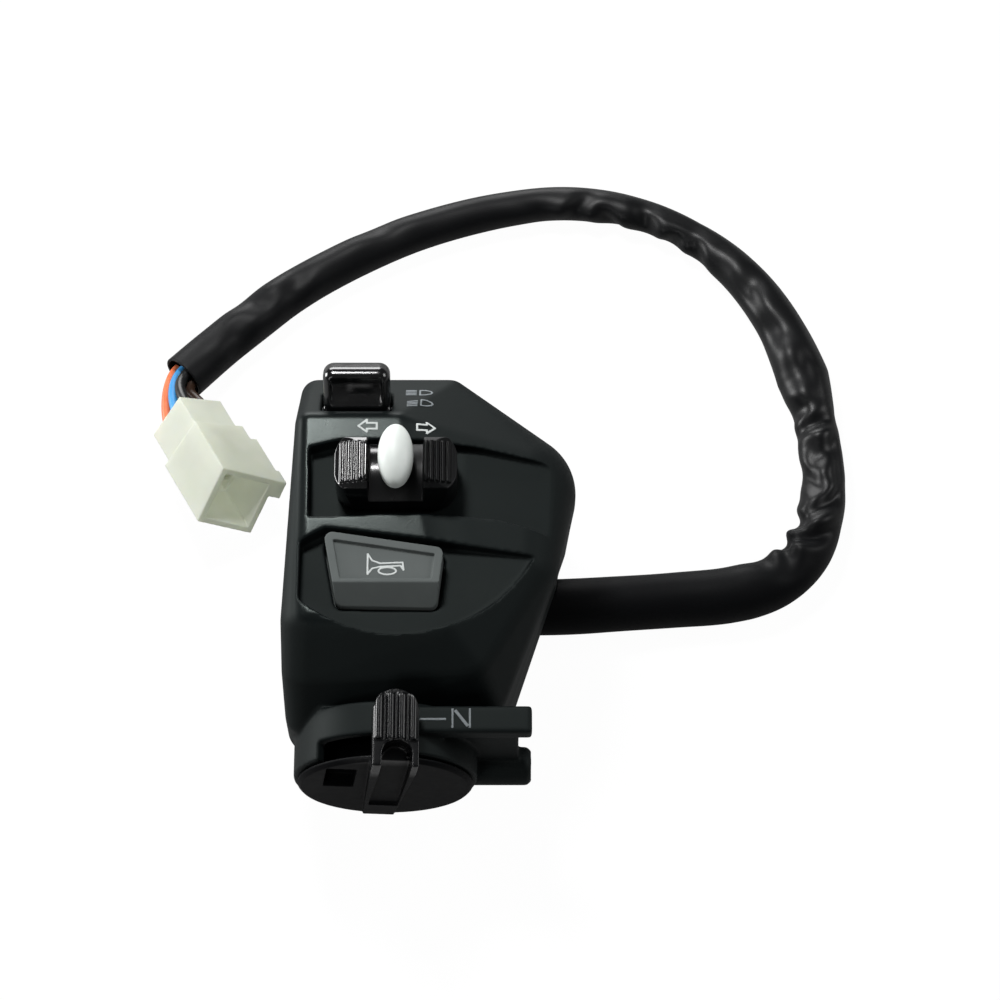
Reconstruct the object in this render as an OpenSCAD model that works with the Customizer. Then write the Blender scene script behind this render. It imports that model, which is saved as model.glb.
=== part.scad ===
// Left-hand handlebar switch cluster for a motorbike, lying on its back.
// The bar runs along X through the origin, +Y runs up the face, +Z points at the rider.

/* [Handlebar clamp] */
// Diameter of the bar that the two halves clamp
bar_d = 22.2; // [22:0.1:23]
// Length of the wall that grips the bar
clamp_len = 42; // [36:1:44]
// Extra radius past each end of the gripping wall
clamp_relief = 0.8; // [0.4:0.1:1.4]

/* [Housing] */
// Wall of both moulded halves
wall = 2.5; // [2:0.1:2.8]
// Reach of the left face from the middle of the clamp
body_left = 28.5; // [28:0.5:31]
// Reach of the right-hand bulge
body_right = 30.5; // [29:0.5:33]
// Radius of the right-hand bulge
bulge_r = 12.5; // [11:0.5:13.5]
// Height of the top wall above the bar axis
body_top = 25; // [24:0.5:27]
// Depth of the bottom-left corner below the bar axis
body_bottom = 49.5; // [49:0.5:51]
// Height of the front face in front of the bar axis
face_z = 30; // [29:0.5:33]
// Depth of the flat back behind the bar axis
back_z = 22; // [21:0.5:24]
// Depth of the two recesses in the face
recess = 3.5; // [3:0.25:4]

/* [Turn signal slider] */
// Width of the slider along the bar
slider_w = 24.4; // [23:0.1:25]
// Height of the slider up the face
slider_h = 13.4; // [12.8:0.1:13.6]
// How far the slider stands above the recess floor
slider_rise = 11.3; // [10.5:0.1:11.8]
// Travel of the slider to each side
slider_travel = 4; // [3:0.25:4]
// Width of the oval cancel button
cancel_w = 7.1; // [6.4:0.1:7.6]
// Height of the oval cancel button
cancel_h = 13.2; // [12.4:0.1:13.6]

/* [Horn button] */
// How far the horn button stands above the recess floor
horn_rise = 5; // [4:0.25:6]
// Travel of the horn button and of the cancel button
push_travel = 2; // [1.5:0.1:2.2]

/* [Dimmer rocker] */
// Width of the rocker paddle along the bar
dimmer_w = 13.6; // [12.5:0.1:14]
// Reach of the paddle above the sloping panel
dimmer_reach = 8.3; // [7.5:0.1:9]
// Diameter of the rocker's pivot pin
dimmer_pin_d = 2.4; // [2:0.1:2.8]

/* [Choke lever] */
// Outside diameter of the choke drum
drum_d = 36.8; // [35:0.2:37.6]
// Length of the drum along its axis
drum_len = 10.6; // [10.2:0.1:11.6]
// Diameter of the lever's shaft
choke_shaft_d = 6; // [5:0.25:6.5]
// Width of the ribbed thumb pad
thumb_w = 9; // [8:0.25:9.5]
// Swing of the lever from the mark, in degrees
choke_swing = 40; // [34:1:42]
// Bore of the socket for the cable end
cable_socket_d = 5.2; // [4.8:0.1:5.6]

/* [Case screws] */
// Thread diameter of the case screws
screw_d = 4.9; // [4:0.1:5]
// Head diameter of the case screws
screw_head_d = 8.6; // [7.6:0.1:9]

/* [Harness] */
// Diameter of the sleeve over the wires
sleeve_d = 10; // [9:0.25:10]
// Diameter of one insulated wire
wire_d = 2.2; // [1.8:0.1:2.2]
// Length of the connector along its middle
plug_len = 25.5; // [24:0.5:27]
// Width of the connector
plug_w = 13.4; // [13:0.1:14]
// Thickness of the connector
plug_t = 13.4; // [13:0.1:14]

/* [Fits] */
// Gap between a moving piece and the wall beside it
gap = 0.35; // [0.3:0.05:0.5]
// Radial gap of a pin or shaft in its bore
run_gap = 0.05; // [0.03:0.01:0.08]
// Gap between a fixed inner piece and its seat
seat_gap = 0.2; // [0.1:0.05:0.3]

/* [Hidden] */
$fn = 64;
hull_fn = 32;
eps = 0.01;
big = 200;

// Clamp
bar_r = bar_d / 2;
saddle_r = bar_r + wall;

// Front shell: rounded corners as [x, y, radius, top z], with a radius at the split where that is smaller
edge_r = 3.5;
crease_r = 3;
low_r = 4.5;
crease_y = 11.2;
top_edge_z = 22;
low_edge_z = 15;
face_low_y = -30;
fall_r = 6;
bulge_y = 1;
bulge_top_z = face_z - 2.5;
lean = 2.5;
mid_y = -38.5;
mid_r = 5.2;
mid_z = 23.6;
flank_x = -5.5;
fall_x = 3;
hip_y = -17;
hip_r = 8;
hip_top_z = face_z - 2;
hip_base_r = 4.5;
hip_back_r = 3;
low_right_x = 12;
low_right_y = 8.5 - body_bottom;
top_left = [lean - body_left + edge_r, body_top - edge_r, edge_r, top_edge_z];
top_right = [4.8, body_top - edge_r, edge_r, top_edge_z];
bulge = [body_right - bulge_r, bulge_y, bulge_r, bulge_top_z];
hip = [body_right - 12, hip_y, hip_r, hip_top_z, hip_base_r];
front_corners = [
  top_left,
  top_right,
  [lean - body_left + crease_r - 0.5, crease_y, crease_r, face_z],
  [flank_x, crease_y, crease_r, face_z],
  bulge,
  [fall_r - body_left, face_low_y, fall_r, face_z],
  hip,
  [fall_x, face_low_y, fall_r + 2, face_z],
  [low_r - body_left + 0.8, mid_y, mid_r, mid_z],
  [low_right_x - 4, mid_y + 3, mid_r + 1.8, mid_z + 2],
  [low_r - body_left + 0.5, low_r - body_bottom, low_r, low_edge_z],
  [low_right_x, low_right_y, low_r, low_edge_z],
];

// Rear shell: the same corners at the split, as [x, y, radius at the split, radius at the back]
rear_low_y = 9.5 - body_bottom;
back_r = 4;
bulge_back_r = 11;
rear_corners = [
  [top_left.x, top_left.y, edge_r, edge_r],
  [top_right.x, top_right.y, edge_r, edge_r],
  [bulge.x, bulge.y, bulge_r, bulge_back_r],
  [hip.x, hip.y, hip_base_r, hip_back_r],
  [low_right_x, rear_low_y, low_r, back_r],
  [low_r - body_left + 0.5, rear_low_y, low_r, back_r],
];
rear_taper = 3;

// Face and cavity
floor_z = face_z - recess;
ceiling_z = floor_z - wall;
cavity_low_y = 4 - body_bottom;

// Sloping panel at the top, found from the two rows of corners that carry it
slope_dy = top_left.y - crease_y;
slope_dz = (face_z - crease_r) - (top_edge_z - edge_r);
slope_run = norm([slope_dy, slope_dz]);
slope_deg = atan2(slope_dz, slope_dy) - asin((edge_r - crease_r) / slope_run);
slope_start_y = crease_y + crease_r * sin(slope_deg);
slope_start_z = face_z - crease_r + crease_r * cos(slope_deg);

// Dimmer, in the panel's own frame: x along the bar, y up the slope, z out of it
dimmer_x = 14.5 - body_left;
dimmer_along = 4.4;
dimmer_drum_r = 3.2;
dimmer_sink = 2.6;
dimmer_t = 6;
dimmer_swing = 7;
dimmer_corner = 2.2;
dimmer_slot_y = dimmer_t + 2 * dimmer_sink * sin(dimmer_swing) + 2 * gap;
scoop_r = 9;
scoop_depth = 0.7;
scoop_side = 1.6;
dimmer_lug = 2.2;
dimmer_lug_r = 3.2;
dimmer_tail_z = -dimmer_sink - dimmer_drum_r;
blade = [2.6, 1.8, 5.2];
blade_in = 1.4;
blade_low_z = dimmer_tail_z + blade_in - blade.z;
dimmer_contact_h = 0.5;
dimmer_contact = [2, 5];
dimmer_contact_x = 3.2;
dimmer_base_size = [12, 6];
dimmer_base_y = 0;
dimmer_base_top_z = blade_low_z - gap - dimmer_contact_h;

// Height of the sloping panel over the bar axis, measured square to the panel
slope_height = slope_start_y * sin(slope_deg) + slope_start_z * cos(slope_deg);
dimmer_base_low_z = saddle_r + seat_gap - slope_height;

// Slider
slider_x = 22.8 - body_left;
slider_y = -1;
slider_corner = 5;
slider_base = 6.3;
saddle_w = cancel_w + 3.9;
saddle_skirt = 1;
stem_x = 9;
stem_y = 8;
crown_r = 10;
end_crown_r = 30;
rib_n = 5;
rib_w = 0.75;
rib_h = 0.6;
rib_start = 0.6;
rib_end = 1.6;
rib_trim = 4.6;
flank_lean = 8;
flank_foot = 1;
carrier_x = 15;
carrier_y = 11;
carrier_h = 3;
bridge_h = 0.8;
bridge_y = 4;
bridge_trim = 3;
base_border = 1.5;
contact_h = 0.5;
contact_pitch = 8;
contact_x = 5;
contact_y = 4;
slider_low_z = floor_z + gap;
slider_top_z = floor_z + slider_rise;
carrier_top_z = ceiling_z - gap;
carrier_low_z = carrier_top_z - carrier_h;
bridge_low_z = carrier_low_z - bridge_h;
base_low_z = saddle_r + seat_gap;
contact_top_z = bridge_low_z - seat_gap;
base_top_z = contact_top_z - contact_h;

// Cancel button in the slider
cancel_stem_d = 4.4;
cancel_skirt = 1.5;
cancel_dome = 3.2;
cancel_up = 1.2;
cancel_stem_len = 6;
cancel_seat_z = slider_low_z + slider_base;
cancel_low_z = cancel_seat_z + push_travel + gap;
cancel_bore_z = carrier_low_z + 0.6;
cancel_stem_low_z = cancel_low_z - cancel_stem_len;

// Horn button: corners of its face, clockwise from the top left
horn_shape = [[-20, -13.6], [3.9, -17.3], [2.6, -28.5], [-17.3, -28.2]];
horn_corner = 1.5;
horn_rim = 1.6;
horn_dish = 0.8;
horn_bevel_deg = 48;
horn_bevel_run = 3.6;
horn_lip = 0.7;
horn_flange = 1.4;
horn_flange_h = 2;
horn_top_z = floor_z + horn_rise;
horn_flange_top_z = ceiling_z - gap;
horn_flange_low_z = horn_flange_top_z - horn_flange_h;
horn_x = -7.5;
horn_y = -21.5;
horn_base_top_z = 12.6;
horn_base_h = 2.4;
horn_base_x = 35.5;
horn_base_y = 13;
horn_base_shift = 1;
horn_screw_at = [[-22.2, -25.8], [9, -19]];
horn_post_r = 2.3;
horn_screw_r = 1.3;
horn_screw_grip = 6;
horn_head_r = 2.5;
horn_head_h = 1.6;
horn_contact_h = 0.6;
horn_contact_w = 1.6;
horn_terminal_x = 6.6;
horn_terminal_size = [2.6, 6];
spring_cup = 0.8;
spring_cup_h = 1;
spring_end_gap = 0.05;

// Slider recess: its outline, where its floor starts to fall away, and how steeply
recess_left = 5.2 - body_left;
recess_shape = [[recess_left, 5], [-17, 6.6], [0, 6.6], [11, 5.6], [24, 3.2], [45, 0], [45, -17],
  [25.3, -12.6], [15, -10], [3, -9.2], [-10.8, -9.4], [recess_left + 0.3, -10]];
fall_away_x = 8;
fall_away_deg = 5.5;

// Recess round the horn button
leaf_at = [-5.4, -3.9];
leaf_r = 30.4;
leaf_tip = [25, -18];
leaf_corner_at = [-15.6, -24.6];
leaf_corner_r = 9.3;
leaf_left = 3.9 - body_left;
leaf_low = -40;
leaf_shape = [[leaf_left, -15.2], [-19.7, -12.4], leaf_tip,
  [leaf_tip.x, leaf_low], [leaf_left - 0.3, leaf_low]];

// Springs: mean radius, wire radius, turns
horn_spring_r = 3.2;
cancel_spring_r = 1.5;
spring_wire_r = 0.35;
horn_turns = 6;
cancel_turns = 6;

// Choke drum: its axis runs along Y
drum_x = -8;
drum_z = 4;
drum_r = drum_d / 2;
drum_top_y = 3.5 - body_bottom;
drum_low_y = drum_top_y - drum_len;
drum_wall = 2.2;
cup_r = drum_r - drum_wall;
cup_top_y = drum_top_y - wall;
window_h = 3.8;
lever_rest = 7;
disc_h = 1.2;
disc_r = drum_r - 0.8;
disc_chamfer = 0.7;
disc_top_y = drum_low_y - gap;
disc_low_y = disc_top_y - disc_h;
hub_r = 12;
hub_top_y = cup_top_y - 1;
groove_r = 8;
groove_w = 2.4;
shaft_r = choke_shaft_d / 2;
shaft_top_y = cavity_low_y + 5;
pad_in = drum_r + 0.7;
pad_out = drum_r + 5.2;
pad_top_y = drum_top_y + 0.7;
arm_w = 5;
arm_deg = asin(arm_w / 2 / cup_r);
window_from = lever_rest + arm_deg + 3;
window_to = lever_rest - choke_swing - arm_deg - 3;
handle_h = 3;
handle_tip = 6.4;
handle_end = 0.5;
handle_back = disc_r - 1;
handle_deg = atan((handle_h - handle_end) / (pad_in + handle_back));
spine_w = 1.8;
web_w = 1.3;
pocket_floor = 0.4;
arch_up = 1;
nipple_slot = [6, 11];
nipple_slot_x = -9.5;
nipple_depth = 3;
pad_rib_n = 4;
pad_rib_r = 0.8;
pad_rib_len = 9.5;
clip_h = 0.8;
clip_r = shaft_r + 1;
clip_depth = 0.6;
clip_room = 2.5;
clip_mouth = 3.2;

// Cable guide beside the drum
guide_right = 21.3;
guide_top_y = drum_top_y - 1;
guide_low_y = drum_top_y - 6.6;
guide_back = 4;
barrel_z = drum_z - groove_r;
barrel_y = drum_top_y - 5;
barrel_r = cable_socket_d / 2 + 1.3;
socket_len = 9;
cable_hole_r = 1.2;
notch_depth = 2.6;
barrel_end = guide_right + 0.2;
barrel_chamfer = 1;

// Case screws, upper and lower
screw_at = [[4, 18.2], [12.5, -27]];
boss_r = screw_d / 2 + 2;
screw_hole_z = 13;
screw_len = 24;
screw_head_h = 3;
screw_seat_z = -9;
head_gap = 0.4;

// Harness
exit_y = -12.4;
exit_z = -14.4;
grommet_r = sleeve_d / 2 + 1;
grommet_x = 18.6;
grommet_len = 2.4;
sleeve_route = [
  [18, exit_y, exit_z], [25, exit_y, exit_z], [32, -12, -14.8], [40, -11, -16], [52, -9.8, -17],
  [64, -8.6, -17], [74, -5.5, -17], [81, 1, -17], [84.5, 11, -17], [85, 22, -17], [83.5, 34, -17],
  [80.5, 46, -17], [76, 57, -17], [69.5, 67, -17], [61, 75.5, -17], [51, 81.5, -17],
  [40, 85, -17], [28, 86, -17], [16, 84.5, -17], [4, 81.5, -17], [-8, 77, -17], [-20, 71, -17],
  [-31, 64, -17], [-40, 56.5, -17], [-48, 49, -16.5], [-54.5, 42, -15.5],
];
sleeve_sides = 10;
sleeve_steps = 2;

// Connector: where the wires enter, its heading, the lift of its mouth and its roll
plug_deg = -61;
plug_lift = 11.7;
plug_roll = -44;
plug_rest_z = cos(plug_lift) * (plug_w * cos(plug_roll) - plug_t * sin(plug_roll)) / 2;
plug_at = [-53, 31, plug_rest_z - back_z];
plug_neck = 8.6;
plug_step = 0.9;
plug_mouth = 9;
plug_skin = 1.3;
plug_slant = 11;
plug_spare = 5;
cell = [3.7, 5];
cell_wall = 1;
cell_pin = [0.8, 2.2];
cell_pin_back = 1;
tab_back = 12.5;
tab_w = 4;
tab_t = 1.8;
tab_hook = [3.4, 0.9];

// Connector's own axes: into the mouth, through it and across it
plug_into = [cos(plug_lift) * cos(plug_deg), cos(plug_lift) * sin(plug_deg), sin(plug_lift)];
plug_left = [-sin(plug_deg), cos(plug_deg), 0];
plug_up = cross(plug_into, plug_left);
plug_through = cos(plug_roll) * plug_left + sin(plug_roll) * plug_up;
plug_across = cos(plug_roll) * plug_up - sin(plug_roll) * plug_left;

// Wires: columns and rows of their places in the sleeve and in the connector
wire_pitch = 2.6;
bundle_turn = 45;
wire_sides = 8;
wire_rings = 12;
wire_in = 1.2;
wire_bow = 4.5;
loom_d = 5;
loom_route = [[17.4, exit_y, exit_z], [15.5, exit_y, exit_z], [12, -13.8, -13.8], [8, -17, -11.5],
  [2, -20.5, -5], [-2, -22, 1], [-3, -22, 6], [-3, -22, 9.6]];

// Colours
black = "#1b1d1e";
gloss = "#0d0e0f";
grey = "#6b6e6c";
white = "#eef2ee";
cream = "#e9eadb";
brass = "#c9a24a";
steel = "#b8bcc0";
board = "#7a5a34";

// Helpers

module along_x(from, to, r) {
  translate([from, 0, 0]) rotate([0, 90, 0]) cylinder(h = to - from, r = r);
}

module along_y(from, to, r) {
  translate([0, from, 0]) rotate([-90, 0, 0]) cylinder(h = to - from, r = r);
}

module block(low, high) {
  translate(low) cube(high - low);
}

module rounded_plate(w, h, r, t) {
  translate([0, 0, t / 2]) {
    cube([w - 2 * r, h, t], center = true);
    cube([w, h - 2 * r, t], center = true);
  }
  for (x = [-1, 1], y = [-1, 1])
    translate([x * (w / 2 - r), y * (h / 2 - r), 0]) cylinder(h = t, r = r);
}

// Frame of the sloping panel at the dimmer
module on_slope() {
  translate([
    dimmer_x,
    slope_start_y + dimmer_along * cos(slope_deg),
    slope_start_z - dimmer_along * sin(slope_deg),
  ]) rotate([-slope_deg, 0, 0]) children();
}

// Frame of the choke drum, with y along its axis and z towards the rider
module at_drum(turn = 0) {
  translate([drum_x, 0, drum_z]) rotate([0, turn, 0]) children();
}

// Frame of the connector: x along its heading, y through it, z across
module at_plug() {
  translate(plug_at) rotate([0, 0, plug_deg]) rotate([0, -plug_lift, 0]) rotate([plug_roll, 0, 0]) children();
}

// Swept tubes

function unit(v) = v / norm(v);

function spline(a, b, c, d, t) = 0.5 * (2 * b + (c - a) * t
  + (2 * a - 5 * b + 4 * c - d) * t * t + (3 * b - a - 3 * c + d) * t * t * t);

function smooth_route(p, steps) = let(n = len(p)) [
  for (i = [0:n - 2], s = [0:steps - 1])
    spline(p[max(i - 1, 0)], p[i], p[i + 1], p[min(i + 2, n - 1)], s / steps),
  p[n - 1],
];

function bezier(a, b, c, d, t) = pow(1 - t, 3) * a + 3 * t * pow(1 - t, 2) * b
  + 3 * t * t * (1 - t) * c + t * t * t * d;

function heading(p, i) = unit(p[min(i + 1, len(p) - 1)] - p[max(i - 1, 0)]);

function ring(centre, along, r, sides, up) =
  let(u = unit(cross(up, along)), v = cross(along, u))
  [for (k = [0:sides - 1]) centre + r * (cos(360 * k / sides) * u + sin(360 * k / sides) * v)];

module tube(p, r, sides, up = [0, 0, 1]) {
  n = len(p);
  points = [for (i = [0:n - 1]) each ring(p[i], heading(p, i), r, sides, up)];
  walls = [for (i = [0:n - 2], k = [0:sides - 1])
    let(a = i * sides + k, b = i * sides + (k + 1) % sides)
    each [[a, a + sides, b], [b, a + sides, b + sides]]];
  near = [for (k = [1:sides - 2]) [0, k, k + 1]];
  last = (n - 1) * sides;
  far = [for (k = [1:sides - 2]) [last, last + k + 1, last + k]];
  polyhedron(points, concat(walls, near, far));
}

function coil(r, turns, low, high, per_turn = 8) = [
  for (i = [0:turns * per_turn])
    [r * cos(360 * i / per_turn), r * sin(360 * i / per_turn),
     low + (high - low) * i / (turns * per_turn)]];

module spring(r, turns, low, high) {
  tube(coil(r, turns, low + spring_wire_r, high - spring_wire_r), spring_wire_r, 6);
}

// Housing halves

// Large corners get finer steps
function round_fn(r) = r > 7 ? 2 * hull_fn : hull_fn;

function base_r(c) = len(c) > 4 ? c[4] : c[2];

module front_skin(inset, low) {
  hull() for (c = front_corners) {
    translate([c.x, c.y, c[3] - c[2]]) sphere(r = c[2] - inset, $fn = round_fn(c[2]));
    translate([c.x, c.y, low]) cylinder(h = eps, r = base_r(c) - inset, $fn = round_fn(c[2]));
  }
}

module rear_skin(inset, high) {
  hull() for (c = rear_corners) {
    translate([c.x, c.y, c[3] - back_z]) sphere(r = c[3] - inset, $fn = hull_fn);
    translate([c.x, c.y, -rear_taper])
      cylinder(h = rear_taper + high, r = c[2] - inset, $fn = hull_fn);
  }
}

module bar_bore() {
  along_x(-clamp_len / 2, clamp_len / 2, bar_r);
  along_x(-big, -clamp_len / 2, bar_r + clamp_relief);
  along_x(clamp_len / 2, big, bar_r + clamp_relief);
}

// Recess across the face for the slider: its floor falls away to the right and runs out over the bulge
module turn_recess() {
  intersection() {
    linear_extrude(big) polygon(recess_shape);
    union() {
      block([-big, -big, floor_z], [big, big, big]);
      translate([fall_away_x, 0, floor_z]) rotate([0, fall_away_deg, 0])
        translate([0, -big, 0]) cube([big, 2 * big, big]);
    }
  }
}

// Leaf-shaped recess round the horn button: a wide arc below, a small one at the lower left
module horn_recess() {
  translate([0, 0, floor_z]) linear_extrude(big) intersection() {
    polygon(leaf_shape);
    translate(leaf_at) circle(r = leaf_r);
    union() {
      translate(leaf_corner_at) circle(r = leaf_corner_r);
      translate([leaf_corner_at.x, -big / 2]) square(big);
      translate([-big / 2, leaf_corner_at.y]) square(big);
    }
  }
}

// Outline of the horn button, grown on all sides
module horn_outline(grow) {
  offset(r = horn_corner + grow, $fn = hull_fn) offset(delta = -horn_corner) polygon(horn_shape);
}

module screw_bosses(low, high) {
  for (p = screw_at) translate([p.x, p.y, low]) cylinder(h = high - low, r = boss_r);
}

module choke_drum() {
  web_z = drum_z + drum_r - guide_back;
  at_drum() along_y(drum_low_y, drum_top_y, drum_r);
  block([drum_x, guide_low_y, web_z], [guide_right, guide_top_y, drum_z + drum_r]);
  block([drum_x, barrel_y, barrel_z], [guide_right - notch_depth, guide_top_y, web_z + 1]);
  translate([0, barrel_y, barrel_z]) {
    along_x(drum_x + cup_r, barrel_end - barrel_chamfer, barrel_r);
    translate([barrel_end - barrel_chamfer, 0, 0]) rotate([0, 90, 0])
      cylinder(h = barrel_chamfer, r1 = barrel_r, r2 = barrel_r - barrel_chamfer);
  }
}

module choke_hollow() {
  at_drum() {
    along_y(drum_low_y - 1, cup_top_y, cup_r);
    along_y(cup_top_y - 1, 0, shaft_r + run_gap);
    along_y(cavity_low_y, cavity_low_y + clip_room, clip_r + gap);
  }
  translate([0, barrel_y, barrel_z]) {
    along_x(barrel_end - socket_len, big, cable_socket_d / 2);
    along_x(drum_x, guide_right, cable_hole_r);
  }
  // Window that the lever's arm swings in
  at_drum() intersection() {
    block([-big, drum_low_y - 1, 0], [big, drum_low_y + window_h, big]);
    rotate([90, 0, 0]) linear_extrude(big) polygon([
      [0, 0],
      [big * sin(window_to), big * cos(window_to)],
      [0, big],
      [big * sin(window_from), big * cos(window_from)]]);
    along_y(-big, big, drum_r + 1);
  }
}

module dimmer_lugs() {
  on_slope() for (s = [-1, 1])
    translate([s * (dimmer_w / 2 + gap + dimmer_lug / 2), 0, -dimmer_sink])
      rotate([0, 90, 0]) cylinder(h = dimmer_lug, r = dimmer_lug_r, center = true);
}

module dimmer_hollow() {
  slot_x = dimmer_w + 2 * gap;
  on_slope() {
    block([-slot_x / 2, -dimmer_slot_y / 2, dimmer_tail_z - wall], [slot_x / 2, dimmer_slot_y / 2, big]);
    translate([-slot_x / 2, 0, -dimmer_sink])
      along_x(-dimmer_lug - seat_gap, slot_x + dimmer_lug + seat_gap, dimmer_pin_d / 2);
  }
}

module horn_posts(r, low, high) {
  for (p = horn_screw_at) translate([p.x, p.y, low]) cylinder(h = high - low, r = r);
}

module front_cavity() {
  intersection() {
    front_skin(wall, -1);
    block([-big, cavity_low_y, -2], [big, big, ceiling_z]);
  }
}

module front_housing() {
  color(black) difference() {
    union() {
      difference() {
        union() {
          front_skin(0, 0);
          choke_drum();
        }
        difference() {
          front_cavity();
          along_x(-big, big, saddle_r);
        }
      }
      horn_posts(horn_post_r, horn_base_top_z, ceiling_z + wall / 2);
      intersection() {
        union() {
          screw_bosses(0, ceiling_z + wall / 2);
          dimmer_lugs();
        }
        front_skin(eps, 0);
      }
    }
    bar_bore();
    turn_recess();
    horn_recess();
    choke_hollow();
    dimmer_hollow();
    translate([slider_x, slider_y, ceiling_z - 1])
      rounded_plate(stem_x + 2 * slider_travel + 2 * gap, stem_y + 2 * gap, 1, big);
    translate([0, 0, ceiling_z - 1]) linear_extrude(big) horn_outline(gap);
    for (p = screw_at) translate([p.x, p.y, -1]) cylinder(h = screw_hole_z + 1, r = screw_d / 2 + run_gap);
    horn_posts(horn_screw_r + run_gap, horn_base_top_z - 1, ceiling_z - 3);
  }
}

module rear_housing() {
  color(black) difference() {
    union() {
      difference() {
        rear_skin(0, 0);
        difference() {
          rear_skin(wall, 1);
          along_x(-big, big, saddle_r);
        }
      }
      intersection() {
        union() {
          screw_bosses(-back_z, 0);
          for (p = screw_at) translate([p.x, p.y, -back_z])
            cylinder(h = back_z + screw_seat_z + 2, r = screw_head_d / 2 + head_gap + 1.2);
        }
        rear_skin(eps, 0);
      }
      translate([grommet_x - 1.2, exit_y, exit_z]) grommet_seat();
    }
    bar_bore();
    for (p = screw_at) translate([p.x, p.y, 0]) {
      translate([0, 0, -big]) cylinder(h = big + screw_seat_z, r = screw_head_d / 2 + head_gap);
      translate([0, 0, -big]) cylinder(h = 2 * big, r = screw_d / 2 + 0.2);
    }
    translate([0, exit_y, exit_z]) {
      along_x(grommet_x - 2, big, sleeve_d / 2 + gap);
      along_x(grommet_x, grommet_x + grommet_len, grommet_r);
    }
  }
}

// Collar inside the wall that holds the grommet
module grommet_seat() {
  intersection() {
    along_x(0, grommet_len + 2.4, grommet_r + 1.6);
    translate([1.2 - grommet_x, -exit_y, -exit_z]) rear_skin(eps, 0);
  }
}

module case_screws() {
  color(steel) for (p = screw_at) translate([p.x, p.y, screw_seat_z]) {
    cylinder(h = screw_len - screw_head_h - 1, r = screw_d / 2);
    difference() {
      translate([0, 0, -screw_head_h]) cylinder(h = screw_head_h, r = screw_head_d / 2);
      for (a = [0, 90]) rotate([0, 0, a])
        translate([0, 0, -screw_head_h]) cube([screw_head_d * 0.55, 1.1, 2.6], center = true);
    }
  }
}

// Turn signal switch

// Crowned top of the slider, raised by the height of a rib for the ribs
module slider_crown(raise) {
  intersection() {
    translate([0, 0, slider_top_z - crown_r]) along_x(-slider_w, slider_w, crown_r + raise);
    translate([0, 0, slider_top_z - end_crown_r]) along_y(-slider_h, slider_h, end_crown_r + raise);
  }
}

module slider_wings() {
  first = saddle_w / 2 + rib_start;
  last = slider_w / 2 - rib_end;
  difference() {
    intersection() {
      translate([0, 0, slider_low_z]) rounded_plate(slider_w, slider_h, slider_corner, big);
      slider_crown(0);
    }
    // The upper and lower flanks lean inwards above the foot
    for (s = [0, 1]) mirror([0, s, 0]) translate([-big, -slider_h / 2, slider_low_z + flank_foot])
      rotate([-flank_lean, 0, 0]) translate([0, -big, 0]) cube([2 * big, big, big]);
  }
  intersection() {
    slider_crown(rib_h);
    union() for (s = [-1, 1], i = [0:rib_n - 1])
      translate([s * (first + (last - first) * i / (rib_n - 1)), 0, slider_top_z])
        cube([rib_w, slider_h - rib_trim, slider_base], center = true);
  }
}

module turn_slider() {
  color(gloss) translate([slider_x, slider_y, 0]) difference() {
    union() {
      slider_wings();
      translate([0, 0, carrier_low_z]) rounded_plate(stem_x, stem_y, 1, slider_low_z - carrier_low_z + 1);
    }
    difference() {
      translate([-saddle_w / 2, -big, slider_low_z + saddle_skirt]) cube([saddle_w, 2 * big, big]);
      translate([0, 0, cancel_seat_z - crown_r]) along_x(-slider_w, slider_w, crown_r);
    }
    translate([0, 0, cancel_bore_z]) cylinder(h = big, r = cancel_stem_d / 2 + seat_gap);
  }
}

module turn_carrier() {
  color(board) translate([slider_x, slider_y, carrier_low_z]) difference() {
    rounded_plate(carrier_x, carrier_y, 1, carrier_h);
    translate([0, 0, -1]) rounded_plate(stem_x + 2 * run_gap, stem_y + 2 * run_gap, 1, carrier_h + 2);
  }
}

module turn_bridge() {
  color(brass) translate([slider_x, slider_y, bridge_low_z])
    rounded_plate(carrier_x - bridge_trim, bridge_y, 0.8, bridge_h);
}

module turn_base() {
  color(board) translate([slider_x, slider_y, base_low_z])
    rounded_plate(slider_w + 2 * base_border, carrier_y + base_border, 1, base_top_z - base_low_z);
}

module turn_contacts() {
  color(brass) for (i = [-1:1])
    translate([slider_x + contact_pitch * i, slider_y, base_top_z])
      rounded_plate(contact_x, contact_y, 0.6, contact_h);
}

// Oval button: a short skirt with a dome on top
module cancel_button() {
  color(white) translate([slider_x, slider_y, cancel_low_z]) {
    translate([0, 0, -cancel_stem_len]) cylinder(h = cancel_stem_len + 1, r = cancel_stem_d / 2);
    translate([0, cancel_up, 0]) {
      linear_extrude(cancel_skirt) scale([cancel_w, cancel_h]) circle(d = 1);
      intersection() {
        translate([0, 0, cancel_skirt]) scale([cancel_w, cancel_h, 2 * cancel_dome]) sphere(d = 1);
        block([-cancel_h, -cancel_h, cancel_skirt - eps], [cancel_h, cancel_h, 2 * cancel_h]);
      }
    }
  }
}

module cancel_spring() {
  color(steel) translate([slider_x, slider_y, 0])
    spring(cancel_spring_r, cancel_turns, cancel_bore_z + spring_end_gap, cancel_stem_low_z - spring_end_gap);
}

// Horn switch

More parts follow.
